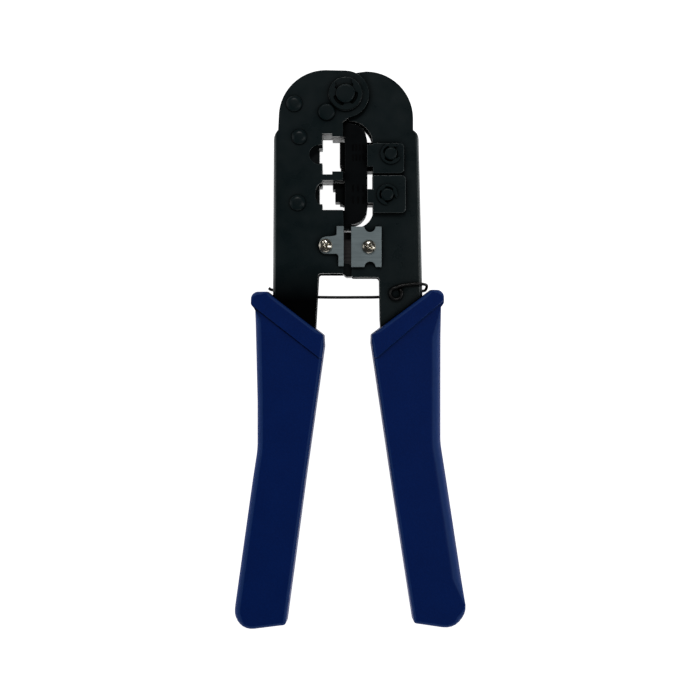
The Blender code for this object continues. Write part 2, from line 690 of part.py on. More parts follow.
def make_rams(hub_8p, hub_6p):
    """Both rams."""
    nose = [(-1.95, -23.8), (-0.7, -23.8)]
    core = [(18.5, -16.0), (-1.95, -16.0)] + nose
    core += comb(-0.7, -23.9, -25.8, 3) + [(-0.7, -25.9), (18.5, -25.9)]
    riser = [(7.8, -17.3), (9.0, -17.3), (9.0, -24.5), (7.8, -24.5)]
    tab = tab_corners(7.4, (-17.2, -24.6), 19.9, -16.7, -26.9)
    make_ram("8p", hub_8p, PIN_8P, core, riser, tab, 15.0)
    nose = [(-4.35, -30.0), (-4.35, -32.1), (-3.5, -32.1), (-3.5, -36.4), (-1.0, -36.4)]
    core = [(17.4, -30.6), (10.6, -30.6), (10.6, -32.3), (6.0, -32.3), (6.0, -30.0)] + nose
    core += comb(-1.0, -36.6, -37.3, 2) + [(-1.0, -37.4), (17.4, -37.4)]
    riser = [(7.8, -32.4), (9.0, -32.4), (9.0, -36.9), (7.8, -36.9)]
    tab = tab_corners(7.4, (-32.3, -37.0), 20.5, -27.6, -40.4)
    make_ram("6p", hub_6p, PIN_6P, core, riser, tab, -54.0)


# ---------------------------------------------------------------- assembly

def main():
    """Build the tool."""
    left = new_hub("left_handle", 0, 0)
    right = new_hub("right_handle", 0, 0)
    make_left_frame(left)
    make_die_block(left)
    make_guides(left)
    make_rivets(left)
    make_pivot(left)
    make_return_spring(left)
    make_left_blades(left)
    make_grip("left_grip", left, left_grip_corners(), cavity_corners(), OUTER_HIGH + GAP)
    make_right_frame(right)
    make_right_blades(right)
    make_lock_wire(right)
    make_grip("right_grip", right, right_grip_corners(), right_hand(cavity_corners()), INNER_HIGH + GAP)
    make_rams(new_hub("ram_8p_slide", *PIN_8P), new_hub("ram_6p_slide", *PIN_6P))


clear_scene()
PARTS = new_collection(NAME)
CUTTERS = new_collection("cutters")
main()
bpy.context.view_layer.update()
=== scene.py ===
import math

import bmesh
import bpy
import numpy as np
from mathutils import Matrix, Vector


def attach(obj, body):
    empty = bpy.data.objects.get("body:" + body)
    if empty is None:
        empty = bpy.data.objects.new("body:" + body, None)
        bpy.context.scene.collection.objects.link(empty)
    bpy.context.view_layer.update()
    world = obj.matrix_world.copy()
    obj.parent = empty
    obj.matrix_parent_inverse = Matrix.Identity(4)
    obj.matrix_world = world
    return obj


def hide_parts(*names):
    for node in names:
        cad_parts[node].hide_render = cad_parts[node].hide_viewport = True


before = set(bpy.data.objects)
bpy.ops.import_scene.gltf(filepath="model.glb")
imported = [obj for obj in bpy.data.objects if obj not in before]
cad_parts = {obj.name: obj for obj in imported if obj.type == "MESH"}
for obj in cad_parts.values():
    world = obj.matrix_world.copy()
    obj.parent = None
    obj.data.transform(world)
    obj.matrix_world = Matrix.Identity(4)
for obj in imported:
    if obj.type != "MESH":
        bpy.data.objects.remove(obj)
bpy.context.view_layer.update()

MM = 0.001
PIVOT = Vector((-1.57, 87.09, 11.0))
SPREAD = math.radians(1.0)
RIGHT_SHIFT = 0.4

# Layers of the tool.
INNER_LOW = 5.8
INNER_HIGH = 7.6
OUTER_LOW = 7.9
OUTER_HIGH = 9.7
HEAD_LOW = 10.0
BACK = 11.0
GAP = 0.3

# Grips.
COLLAR_DROP = 0.8
GRIP_FIT = 0.06
GRIP_BACK = BACK - 0.11
STEP_WIDTH = 0.5
PARTING_HALF = 0.18
PARTING_DEPTH = 0.14
EDGE_ROUNDING = 1.3
BULB_ROUNDING = 2.8
ROUNDING_RINGS = 7
LEFT_COLLAR = ((-26.5, -75.8), (-8.7, -88.8))
RIGHT_COLLAR = ((11.7, -87.5), (29.8, -73.3))
DRAFT = 0.3

# Pins, screws, rivets and the lock wire.
PIN_R = 3.2
RAM_PIN_R = 2.1
PIN_8P = (15.4, -20.3)
PIN_6P = (14.2, -34.2)
STRIPPER_SCREW = (-6.75, -51.6)
CUTTER_SCREW = (8.0, -51.9)
WIRE_R = 0.5
WIRE_EYE = (17.2, -67.8)
WIRE_EYE_R = 2.0
WIRE_HOLE_ANGLE = 42.0
RIVET_HEIGHT = 0.9
RIVET_SHANK_R = 1.5


# ---------------------------------------------------------------- outlines

def arc(centre, radius, start, end, steps):
    """Points along an arc from one angle to another, in degrees."""
    points = []
    for i in range(steps + 1):
        angle = math.radians(start + (end - start) * i / steps)
        points.append((centre[0] + radius * math.cos(angle), centre[1] + radius * math.sin(angle)))
    return points


def rounded(corners, steps=8):
    """Closed outline whose corners are (x, y) or (x, y, radius)."""
    points = []
    for i, corner in enumerate(corners):
        here = Vector(corner[:2])
        if len(corner) == 2:
            points.append(tuple(here))
            continue
        back = (Vector(corners[i - 1][:2]) - here).normalized()
        ahead = (Vector(corners[(i + 1) % len(corners)][:2]) - here).normalized()
        half = back.angle(ahead) / 2
        centre = here + (back + ahead).normalized() * (corner[2] / math.sin(half))
        first = here + back * (corner[2] / math.tan(half)) - centre
        last = here + ahead * (corner[2] / math.tan(half)) - centre
        start = math.atan2(first.y, first.x)
        turn = (math.atan2(last.y, last.x) - start + math.pi) % (2 * math.pi) - math.pi
        points += arc(centre, corner[2], math.degrees(start), math.degrees(start + turn), steps)
    return points


def right_hand(corners):
    """Corners of the left handle, mirrored, shifted and turned by the spread, in reverse order."""
    result = []
    for corner in reversed(corners):
        x = RIGHT_SHIFT - corner[0]
        y = corner[1]
        turned_x = x * math.cos(SPREAD) - y * math.sin(SPREAD)
        turned_y = x * math.sin(SPREAD) + y * math.cos(SPREAD)
        result.append((turned_x, turned_y) + tuple(corner[2:]))
    return result


def subdivided(points, longest):
    """The same closed outline with no side longer than the limit."""
    result = []
    for i, point in enumerate(points):
        a = Vector(point)
        b = Vector(points[(i + 1) % len(points)])
        count = max(1, math.ceil((b - a).length / longest))
        result += [tuple(a.lerp(b, k / count)) for k in range(count)]
    return result


def smooth_path(corners, count):
    """Points read from a Catmull-Rom curve through the corners."""
    knots = [Vector(corner) for corner in corners]
    knots = [2 * knots[0] - knots[1]] + knots + [2 * knots[-1] - knots[-2]]
    spans = len(knots) - 3
    points = []
    for i in range(count + 1):
        place = min(i / count * spans, spans - 1e-9)
        span = int(place)
        t = place - span
        a, b, c, d = knots[span:span + 4]
        point = b + (c - a) * t / 2 + (2 * a - 5 * b + 4 * c - d) * t ** 2 / 2
        point += (3 * b - a - 3 * c + d) * t ** 3 / 2
        points.append(tuple(point))
    return points


# ---------------------------------------------------------------- meshes

def new_piece(name, verts, faces):
    """Object made of these points, in millimetres from the pivot."""
    mesh = bpy.data.meshes.new(name)
    mesh.from_pydata([(PIVOT + Vector(vert)) * MM for vert in verts], [], faces)
    obj = bpy.data.objects.new(name, mesh)
    bpy.context.scene.collection.objects.link(obj)
    return obj


def prism(name, outline, low, high):
    """Straight prism on an outline."""
    area = sum(a[0] * b[1] - b[0] * a[1] for a, b in zip(outline, outline[1:] + outline[:1]))
    if area < 0:
        outline = outline[::-1]
    n = len(outline)
    verts = [(x, y, low) for x, y in outline] + [(x, y, high) for x, y in outline]
    faces = [tuple(range(n))[::-1], tuple(range(n, 2 * n))]
    faces += [(i, (i + 1) % n, n + (i + 1) % n, n + i) for i in range(n)]
    return new_piece(name, verts, faces)


def lathe(name, profile, place, segments=56):
    """Turned solid; its profile of (radius, height) runs from the axis at the top to the axis below."""
    verts = []
    rings = []
    for radius, height in profile:
        if radius < 1e-6:
            rings.append([len(verts)])
            verts.append((place[0], place[1], height))
            continue
        rings.append(list(range(len(verts), len(verts) + segments)))
        verts += [(x, y, height) for x, y in arc(place, radius, 0.0, 360.0, segments)[:-1]]
    faces = []
    for upper, lower in zip(rings, rings[1:]):
        for i in range(segments):
            k = (i + 1) % segments
            if len(upper) == 1:
                faces.append((upper[0], lower[i], lower[k]))
            elif len(lower) == 1:
                faces.append((upper[i], lower[0], upper[k]))
            else:
                faces.append((upper[i], lower[i], lower[k], upper[k]))
    return new_piece(name, verts, faces)


def tube(name, points, radius, sides=16):
    """Round wire along the points."""
    path = np.array(points, float)
    along = np.gradient(path, axis=0)
    along /= np.linalg.norm(along, axis=1)[:, None]
    side = np.cross(along[0], (0.3, 0.2, 0.9))
    verts = []
    for centre, direction in zip(path, along):
        side = side - direction * side.dot(direction)
        side /= np.linalg.norm(side)
        other = np.cross(direction, side)
        for i in range(sides):
            angle = 2 * math.pi * i / sides
            verts.append(tuple(centre + radius * (side * math.cos(angle) + other * math.sin(angle))))
    faces = [tuple(range(sides))[::-1], tuple(range(len(verts) - sides, len(verts)))]
    for k in range(len(path) - 1):
        for i in range(sides):
            a = k * sides + i
            b = k * sides + (i + 1) % sides
            faces.append((a, b, b + sides, a + sides))
    return new_piece(name, verts, faces)


def carve(obj, cutters):
    """Cut the shapes out of the object for good, and remove them."""
    for cutter in cutters:
        boolean = obj.modifiers.new("cut", "BOOLEAN")
        boolean.operation = "DIFFERENCE"
        boolean.solver = "EXACT"
        boolean.object = cutter
    bpy.context.view_layer.update()
    evaluated = obj.evaluated_get(bpy.context.evaluated_depsgraph_get())
    mesh = bpy.data.meshes.new_from_object(evaluated)
    obj.modifiers.clear()
    old = obj.data
    obj.data = mesh
    bpy.data.meshes.remove(old)
    for cutter in cutters:
        bpy.data.objects.remove(cutter, do_unlink=True)


def finish_edges(obj, width, angle=35.0):
    """Small rounding on the sharp edges, and shading that follows the larger faces."""
    if width:
        bevel = obj.modifiers.new("edges", "BEVEL")
        bevel.width = width * MM
        bevel.segments = 2
        bevel.limit_method = "ANGLE"
        bevel.angle_limit = math.radians(angle)
    obj.data.shade_smooth()
    normals = obj.modifiers.new("normals", "WEIGHTED_NORMAL")
    normals.weight = 80


def settle(obj, body, nodes, material):
    """Paint a new piece, tie it to its body and let it stand for the CAD nodes."""
    obj.data.materials.clear()
    obj.data.materials.append(material)
    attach(obj, body)
    if nodes:
        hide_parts(*nodes)


def refine(name, material, width):
    """Keep a CAD node, with rounded edges and a procedural finish."""
    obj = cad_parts[name]
    weld = obj.modifiers.new("weld", "WELD")
    weld.merge_threshold = 1e-6
    flat = obj.modifiers.new("flatten", "DECIMATE")
    flat.decimate_type = "DISSOLVE"
    flat.angle_limit = math.radians(1.0)
    finish_edges(obj, width)
    obj.data.materials.clear()
    obj.data.materials.append(material)


# ---------------------------------------------------------------- finishes

class Finish:
    """Procedural material built round a Principled shader."""

    def __init__(self, name, metallic, specular=0.5):
        self.material = bpy.data.materials.new(name)
        self.material.use_nodes = True
        self.tree = self.material.node_tree
        self.shader = self.tree.nodes["Principled BSDF"]
        self.shader.inputs["Metallic"].default_value = metallic
        self.shader.inputs["Specular IOR Level"].default_value = specular
        self.coords = self.tree.nodes.new("ShaderNodeTexCoord").outputs["Object"]

    def noise(self, scale, detail=2.0, stretch=(1, 1, 1)):
        """Noise value, with features stretched along the axes."""
        mapping = self.tree.nodes.new("ShaderNodeMapping")
        mapping.inputs["Scale"].default_value = stretch
        self.tree.links.new(self.coords, mapping.inputs["Vector"])
        noise = self.tree.nodes.new("ShaderNodeTexNoise")
        noise.inputs["Scale"].default_value = scale
        noise.inputs["Detail"].default_value = detail
        self.tree.links.new(mapping.outputs["Vector"], noise.inputs["Vector"])
        return noise.outputs["Fac"]

    def cells(self, scale):
        """Distance to the nearest cell centre of a pebbled grain."""
        voronoi = self.tree.nodes.new("ShaderNodeTexVoronoi")
        voronoi.feature = "SMOOTH_F1"
        voronoi.inputs["Scale"].default_value = scale
        voronoi.inputs["Smoothness"].default_value = 0.6
        self.tree.links.new(self.coords, voronoi.inputs["Vector"])
        return voronoi.outputs["Distance"]

    def span(self, value, low, high, start, end):
        """The value, moved from one range to another and clamped."""
        remap = self.tree.nodes.new("ShaderNodeMapRange")
        remap.inputs["From Min"].default_value = low
        remap.inputs["From Max"].default_value = high
        remap.inputs["To Min"].default_value = start
        remap.inputs["To Max"].default_value = end
        self.tree.links.new(value, remap.inputs["Value"])
        return remap.outputs["Result"]

    def math(self, operation, a, b):
        """Arithmetic on two values."""
        node = self.tree.nodes.new("ShaderNodeMath")
        node.operation = operation
        for socket, value in zip(node.inputs, (a, b)):
            if isinstance(value, float):
                socket.default_value = value
            else:
                self.tree.links.new(value, socket)
        return node.outputs["Value"]

    def blend(self, factor, a, b):
        """Colour between two colours."""
        mix = self.tree.nodes.new("ShaderNodeMix")
        mix.data_type = "RGBA"
        self.tree.links.new(factor, mix.inputs[0])
        for socket, value in ((mix.inputs[6], a), (mix.inputs[7], b)):
            if isinstance(value, tuple):
                socket.default_value = (*value, 1)
            else:
                self.tree.links.new(value, socket)
        return mix.outputs[2]

    def edges(self, radius):
        """1 on rounded-off edges and 0 on flat faces."""
        bevel = self.tree.nodes.new("ShaderNodeBevel")
        bevel.samples = 4
        bevel.inputs["Radius"].default_value = radius * MM
        geometry = self.tree.nodes.new("ShaderNodeNewGeometry")
        dot = self.tree.nodes.new("ShaderNodeVectorMath")
        dot.operation = "DOT_PRODUCT"
        self.tree.links.new(bevel.outputs["Normal"], dot.inputs[0])
        self.tree.links.new(geometry.outputs["Normal"], dot.inputs[1])
        return self.span(dot.outputs["Value"], 0.99, 0.86, 0.0, 1.0)

    def along(self, start, end):
        """0 before one height of the object's box and 1 past the other, measured along its length."""
        parts = self.tree.nodes.new("ShaderNodeSeparateXYZ")
        texture = self.tree.nodes.new("ShaderNodeTexCoord")
        self.tree.links.new(texture.outputs["Generated"], parts.inputs["Vector"])
        return self.span(parts.outputs["Y"], start, end, 0.0, 1.0)

    def openness(self, reach):
        """0 in narrow corners and 1 on open faces."""
        occlusion = self.tree.nodes.new("ShaderNodeAmbientOcclusion")
        occlusion.samples = 8
        occlusion.inputs["Distance"].default_value = reach * MM
        return self.span(occlusion.outputs["AO"], 0.45, 0.95, 0.05, 1.0)

    def sloping(self):
        """1 on rounded bends and edges, 0 on flat faces and upright walls."""
        parts = self.tree.nodes.new("ShaderNodeSeparateXYZ")
        texture = self.tree.nodes.new("ShaderNodeTexCoord")
        self.tree.links.new(texture.outputs["Normal"], parts.inputs["Vector"])
        rise = self.math("ABSOLUTE", parts.outputs["Z"], 0.0)
        not_flat = self.span(rise, 0.995, 0.96, 0.0, 1.0)
        not_upright = self.span(rise, 0.3, 0.6, 0.0, 1.0)
        return self.math("MULTIPLY", not_flat, not_upright)

    def relief(self, height, distance, strength=1.0):
        """Bump of the shader's normal by a height."""
        bump = self.tree.nodes.new("ShaderNodeBump")
        bump.inputs["Distance"].default_value = distance * MM
        bump.inputs["Strength"].default_value = strength
        self.tree.links.new(height, bump.inputs["Height"])
        self.tree.links.new(bump.outputs["Normal"], self.shader.inputs["Normal"])

    def colour(self, socket):
        """Use the socket as the base colour."""
        self.tree.links.new(socket, self.shader.inputs["Base Color"])

    def roughness(self, socket):
        """Use the socket as the roughness."""
        self.tree.links.new(socket, self.shader.inputs["Roughness"])


def coated_steel(name, dark, light, worn, rough, specular=0.25, shade_span=None, bend_highlight=0.45, bend_sheen=3.0):
    """Blackened steel, mottled and fine-grained, with rubbed edges, a painted highlight and extra sheen on
    bends, and painted shade in corners.

    Given two places along its length, a piece gets painted shade, going darker and duller from one to the
    other.
    """
    finish = Finish(name, 0.0, specular)
    mottle = finish.span(finish.noise(70.0, 4.0), 0.35, 0.65, 0.0, 1.0)
    base = finish.blend(mottle, dark, light)
    rubbed = finish.span(finish.noise(450.0, 3.0), 0.40, 0.62, 0.15, 0.6)
    edge = finish.math("MULTIPLY", finish.edges(0.35), rubbed)
    # Painted highlight: bends and sloping rounded edges are blended towards the pale worn colour, on top of
    # the real edge wear.
    bend = finish.sloping()
    edge = finish.math("MAXIMUM", edge, finish.math("MULTIPLY", bend, bend_highlight))
    colour = finish.blend(edge, base, worn)
    # Painted shade: colour and sheen darken in narrow corners and round raised parts.
    unshaded = finish.openness(2.6)
    sheen = finish.math("ADD", finish.math("MULTIPLY", bend, bend_sheen * specular), specular)
    if shade_span:
        # Painted shade: colour and sheen fade darker towards one end of the piece.
        shade_fade = finish.along(*shade_span)
        colour = finish.blend(shade_fade, colour, FADE_SHADE)
        sheen = finish.math("MULTIPLY", sheen, finish.span(shade_fade, 0.0, 1.0, 1.0, 0.08))
    finish.colour(finish.blend(unshaded, CORNER_SHADE, colour))
    finish.tree.links.new(finish.math("MULTIPLY", sheen, unshaded), finish.shader.inputs["Specular IOR Level"])
    smudge = finish.span(finish.noise(160.0, 3.0), 0.3, 0.7, rough - 0.05, rough + 0.07)
    finish.roughness(finish.math("SUBTRACT", smudge, finish.math("MULTIPLY", edge, 0.12)))
    finish.relief(finish.noise(3200.0, 3.0), 0.012)
    return finish.material


def ground_steel(name, dark, light, rough, direction):
    """Bare ground steel with streaks along one direction."""
    finish = Finish(name, 0.45)
    streaks = finish.noise(900.0, 3.0, direction)
    cloud = finish.noise(220.0, 3.0)
    tone = finish.math("ADD", finish.math("MULTIPLY", streaks, 0.7), finish.math("MULTIPLY", cloud, 0.3))
    finish.colour(finish.blend(finish.span(tone, 0.35, 0.65, 0.0, 1.0), dark, light))
    finish.roughness(finish.span(streaks, 0.3, 0.7, rough - 0.06, rough + 0.08))
    finish.relief(streaks, 0.006)
    return finish.material


def ground_walls(name, steel, black, rough):
    """Blackened block whose upright walls are ground bare."""
    finish = Finish(name, 0.0, 0.15)
    normal = finish.tree.nodes.new("ShaderNodeSeparateXYZ")
    texture = finish.tree.nodes.new("ShaderNodeTexCoord")
    finish.tree.links.new(texture.outputs["Normal"], normal.inputs["Vector"])
    upright = finish.span(finish.math("ABSOLUTE", normal.outputs["Z"], 0.0), 0.8, 0.6, 0.0, 1.0)
    streaks = finish.noise(900.0, 3.0, (1.0, 1.0, 0.1))
    tone = finish.span(streaks, 0.3, 0.7, 0.6, 1.0)
    finish.colour(finish.blend(finish.math("MULTIPLY", upright, tone), black, steel))
    finish.roughness(finish.span(streaks, 0.3, 0.7, rough - 0.05, rough + 0.1))
    finish.relief(streaks, 0.006)
    return finish.material


def plated(name, colour, worn, rough):
    """Bright plating with faint clouding."""
    finish = Finish(name, 1.0)
    finish.colour(finish.blend(finish.span(finish.noise(500.0, 3.0), 0.35, 0.65, 0.0, 1.0), colour, worn))
    finish.roughness(finish.span(finish.noise(900.0, 3.0), 0.3, 0.7, rough - 0.05, rough + 0.1))
    finish.relief(finish.noise(2600.0, 2.0), 0.004)
    return finish.material


def moulded_plastic(name, dark, light, rubbed, rough):
    """Navy plastic with a pebbled grain, rubbed edges and a painted highlight on its rounded edges, and
    painted shade in corners such as the collar's step.
    """
    finish = Finish(name, 0.0, 0.12)
    cells = finish.cells(1900.0)
    cloud = finish.math("MULTIPLY", finish.noise(90.0, 4.0), 0.5)
    tone = finish.math("ADD", finish.math("MULTIPLY", cells, 0.5), cloud)
    base = finish.blend(finish.span(tone, 0.25, 0.65, 0.0, 1.0), dark, light)
    worn = finish.span(finish.noise(300.0, 3.0), 0.4, 0.65, 0.1, 0.5)
    edge = finish.math("MULTIPLY", finish.edges(0.4), worn)
    # Painted highlight: sloping rounded edges are blended towards the paler colour, on top of the real edge
    # wear.
    edge = finish.math("MAXIMUM", edge, finish.math("MULTIPLY", finish.sloping(), 0.40))
    colour = finish.blend(edge, base, rubbed)
    # Painted shade: the colour darkens in narrow corners such as the collar's step.
    finish.colour(finish.blend(finish.openness(2.6), BLUE_CORNER_SHADE, colour))
    finish.roughness(finish.span(finish.noise(140.0, 4.0), 0.3, 0.7, rough - 0.06, rough + 0.07))
    grain = finish.math("ADD", cells, finish.math("MULTIPLY", finish.noise(5200.0, 2.0), 0.35))
    finish.relief(grain, 0.05, 0.7)
    return finish.material


# Painted shade colours: for corners on steel, for the left frame towards its grip, and for corners on the
# grips.
CORNER_SHADE = (0.001, 0.001, 0.001)
FADE_SHADE = (0.0008, 0.0010, 0.0014)
BLUE_CORNER_SHADE = (0.001, 0.004, 0.030)
STEEL_DARK = (0.0055, 0.0148, 0.0172)
STEEL_LIGHT = (0.0085, 0.0188, 0.0218)
# The pale colours serve both real edge wear and the painted highlight on bends.
STEEL_WEAR_AND_HIGHLIGHT = (0.085, 0.115, 0.120)
RIVET_WEAR_AND_HIGHLIGHT = (0.035, 0.055, 0.060)
ALONG_TOOL = (0.12, 1.6, 1.0)
BLACK = coated_steel("black_steel", STEEL_DARK, STEEL_LIGHT, STEEL_WEAR_AND_HIGHLIGHT, 0.30)
# The left frame gets painted shade, darker and duller towards its grip.
LEFT_BLACK = coated_steel("left_black_steel", STEEL_DARK, STEEL_LIGHT, STEEL_WEAR_AND_HIGHLIGHT, 0.30, shade_span=(0.56, 0.47))
RIVET_BLACK = coated_steel(
    "rivet_black", STEEL_DARK, STEEL_LIGHT, RIVET_WEAR_AND_HIGHLIGHT, 0.34, 0.18, bend_highlight=0.1, bend_sheen=0.3,
)
GUIDE = coated_steel(
    "guide_black", (0.0020, 0.0035, 0.0045), (0.0035, 0.0050, 0.0060), (0.03, 0.03, 0.04), 0.38, 0.08,
)
MARK = coated_steel(
    "mark_black", (0.0010, 0.0010, 0.0015), (0.0015, 0.0015, 0.0020), (0.02, 0.02, 0.02), 0.60, 0.05,
)
WIRE = coated_steel(
    "wire_black", (0.002, 0.002, 0.002), (0.004, 0.004, 0.004), (0.02, 0.02, 0.02), 0.42, 0.12,
)
BLADE = ground_steel("blade_steel", (0.29, 0.36, 0.38), (0.37, 0.45, 0.47), 0.46, ALONG_TOOL)
# Painted shade: a darker copy of the blade steel for the inner blade, which sits in shade between the plates.
SHADED_INNER_BLADE = ground_steel("inner_blade_shaded_steel", (0.05, 0.048, 0.052), (0.11, 0.10, 0.10), 0.46, ALONG_TOOL)
BLOCK = ground_walls("block_steel", (0.42, 0.43, 0.43), (0.004, 0.007, 0.008), 0.42)
NICKEL = plated("nickel", (0.78, 0.74, 0.64), (0.58, 0.55, 0.47), 0.17)
# The paler grip colour serves both real edge wear and the painted highlight on rounded edges.
BLUE = moulded_plastic(
    "blue_plastic", (0.0002, 0.0212, 0.1710), (0.0004, 0.0265, 0.2060), (0.045, 0.115, 0.36), 0.50,
)


# ---------------------------------------------------------------- grips

def left_grip_corners():
    """Left grip from its outer top bulb, clockwise."""
    return [
        (-32.48, -66.83, 2.8), (-26.6, -66.83, 1.0), (-7.1, -81.8, 0.8), (-6.9, -85.6, 3.0), (-13.45, -132.1),
        (-17.15, -159.8), (-20.0, -180.95, 1.6), (-38.9, -183.3, 6.3), (-37.9, -173.6), (-32.1, -132.1),
        (-30.35, -120.6, 30.0), (-30.35, -104.5), (-31.05, -74.4), (-31.05, -72.9, 0.4), (-32.48, -72.2, 1.9),
    ]


def right_grip_corners():
    """Right grip from its outer top bulb, anticlockwise."""
    return [
        (33.85, -66.2, 2.8), (29.2, -66.2, 1.2), (8.6, -81.6, 0.8), (8.5, -84.6, 3.0), (15.55, -132.1),
        (19.8, -159.8), (23.0, -180.35, 1.6), (42.3, -183.2, 7.3), (41.2, -173.6), (34.9, -132.1),
        (32.8, -118.8, 30.0), (32.8, -104.5), (32.85, -74.0), (32.85, -72.3, 0.4), (33.85, -71.6, 1.9),
    ]


def pocket_corners():
    """Pocket of the left grip for the frame's tang, open above the collar."""
    return [
        (-18.2, -140.5), (-13.7, -105.0), (-10.3, -86.0), (-9.8, -60.0),
        (-25.0, -60.0), (-25.2, -105.0), (-25.5, -115.0), (-27.8, -140.5),
    ]


def with_crossings(outline, start, end):
    """The outline with a point added wherever the endless line through two points crosses it."""
    along = (Vector(end) - Vector(start)).normalized()
    normal = Vector((-along.y, along.x))
    result = []
    for i, point in enumerate(outline):
        a = Vector(point)
        b = Vector(outline[(i + 1) % len(outline)])
        result.append(tuple(a))
        p = (a - Vector(start)).dot(normal)
        q = (b - Vector(start)).dot(normal)
        if p * q < 0:
            result.append(tuple(a.lerp(b, p / (p - q))))
    return result


def grip_rounding(points, normals, target, neighbours):
    """Edge rounding for each point: the target, but less at tight corners, and changing gradually."""
    offset = points[:, None, :] - points[None, :, :]
    reach = np.einsum("ijk,ik->ij", offset, normals)
    room = np.where(reach > 1e-6, (offset ** 2).sum(axis=2) / np.maximum(2 * reach, 1e-6), np.inf)
    share = 0.92
    growth = 0.35
    limit = np.minimum(target, share * room.min(axis=1) - DRAFT)
    return (limit[None, :] + growth * neighbours).min(axis=1)


def grip_targets(points, normals, outer, outer_radius, above):
    """Wanted edge rounding: large on the bulb and along the outer side, small elsewhere."""
    target = np.full(len(points), EDGE_ROUNDING)
    facing_out = normals[:, 0] * outer > 0.55
    target[facing_out] = outer_radius
    target[above & facing_out] = BULB_ROUNDING
    return target


def make_grip(name, corners, collar, pocket, pocket_half, outer, outer_radius, body):
    """Moulded grip with a raised collar, drafted sides, a parting line and variably rounded edges."""
    start, end = Vector(collar[0]), Vector(collar[1])
    down = Vector(((end - start).y, -(end - start).x)).normalized()
    if down.y > 0:
        down = -down
    outline = subdivided(rounded(corners), 1.2)
    outline = with_crossings(outline, start, end)
    outline = with_crossings(outline, start + down * STEP_WIDTH, end + down * STEP_WIDTH)
    points = np.array(outline)
    following = np.roll(points, -1, axis=0)
    if (points[:, 0] * following[:, 1] - following[:, 0] * points[:, 1]).sum() < 0:
        points = points[::-1]
    chord = np.roll(points, -1, axis=0) - np.roll(points, 1, axis=0)
    normals = np.stack([chord[:, 1], -chord[:, 0]], axis=1)
    normals /= np.linalg.norm(normals, axis=1)[:, None]
    points = points - normals * GRIP_FIT
    steps = np.linalg.norm(np.roll(points, -1, axis=0) - points, axis=1)
    place = np.concatenate([[0.0], np.cumsum(steps)[:-1]])
    apart = np.abs(place[:, None] - place[None, :])
    apart = np.minimum(apart, steps.sum() - apart)
    depth = (points - np.array(start)) @ np.array(down)
    above = depth < STEP_WIDTH / 2
    target = grip_targets(points, normals, outer, outer_radius, above)
    radius = grip_rounding(points, normals, target, apart)
    top = np.where(above, BACK, BACK - COLLAR_DROP)
    rings = []
    turn = 90.0 / (ROUNDING_RINGS - 1)
    for i in range(ROUNDING_RINGS):
        angle = math.radians(90.0 - turn * i)
        inset = DRAFT + radius * (1 - math.cos(angle))
        rings.append((inset, top - radius + radius * math.sin(angle)))
    flush = np.zeros(len(points))
    rings += [(flush, flush + PARTING_HALF), (flush + PARTING_DEPTH, flush), (flush, flush - PARTING_HALF)]
    for i in range(ROUNDING_RINGS):
        angle = math.radians(turn * i)
        inset = DRAFT + radius * (1 - math.cos(angle))
        rings.append((inset, radius - GRIP_BACK - radius * math.sin(angle)))
    n = len(points)
    verts = []
    for inset, height in rings:
        inner = points - normals * inset[:, None]
        verts += [(x, y, z) for (x, y), z in zip(inner, height)]
    faces = []
    for k in range(len(rings) - 1):
        for i in range(n):
            j = (i + 1) % n
            faces.append((k * n + i, (k + 1) * n + i, (k + 1) * n + j, k * n + j))
    faces.append(tuple(range(len(verts) - n, len(verts)))[::-1])
    first = next(i for i in range(n) if above[i] and not above[i - 1])
    order = [(first + i) % n for i in range(n)]
    collar_side = [i for i in order if above[i]]
    body_side = [i for i in order if not above[i]]
    faces.append(tuple(collar_side))
    faces.append(tuple(body_side))
    faces.append((collar_side[0], collar_side[-1], body_side[0], body_side[-1]))
    grip = new_piece(name, verts, faces)
    carve(grip, [prism("pocket", pocket, -pocket_half, pocket_half)])
    finish_edges(grip, 0.15, 38.0)
    settle(grip, body, [name.replace("_piece", "")], BLUE)


# ---------------------------------------------------------------- hardware

def make_screw(name, node, place, seat, end, turn, body):
    """Pan-head screw with a tapered cross recess."""
    head = 2.35
    profile = [(0, seat + 1.30)]
    for i in range(1, 9):
        angle = math.radians(10.0 * i)
        profile.append((head * math.sin(angle), seat + 0.35 + 0.95 * math.cos(angle)))
    profile += [(head, seat + 0.35), (head, seat + 0.08), (head - 0.08, seat), (1.3, seat), (1.3, end + 0.3)]
    profile += [(1.0, end), (0, end)]
    screw = lathe(name, profile, place)
    wide, arm = 0.40, 1.50
    outline = [
        (wide, wide), (wide, arm), (-wide, arm), (-wide, wide), (-arm, wide), (-arm, -wide),
        (-wide, -wide), (-wide, -arm), (wide, -arm), (wide, -wide), (arm, -wide), (arm, wide),
    ]
    verts = []
    bottom = (seat - 0.15, 0.45)
    above = (seat + 2.0, 1.28)
    for height, factor in (bottom, above):
        for x, y in outline:
            angle = math.radians(turn)
            turned_x = x * math.cos(angle) - y * math.sin(angle)
            turned_y = x * math.sin(angle) + y * math.cos(angle)
            verts.append((place[0] + factor * turned_x, place[1] + factor * turned_y, height))
    faces = [tuple(range(12))[::-1], tuple(range(12, 24))]
    faces += [(i, (i + 1) % 12, 12 + (i + 1) % 12, 12 + i) for i in range(12)]
    carve(screw, [new_piece("cross", verts, faces)])
    finish_edges(screw, 0.05)
    settle(screw, body, [node], NICKEL)


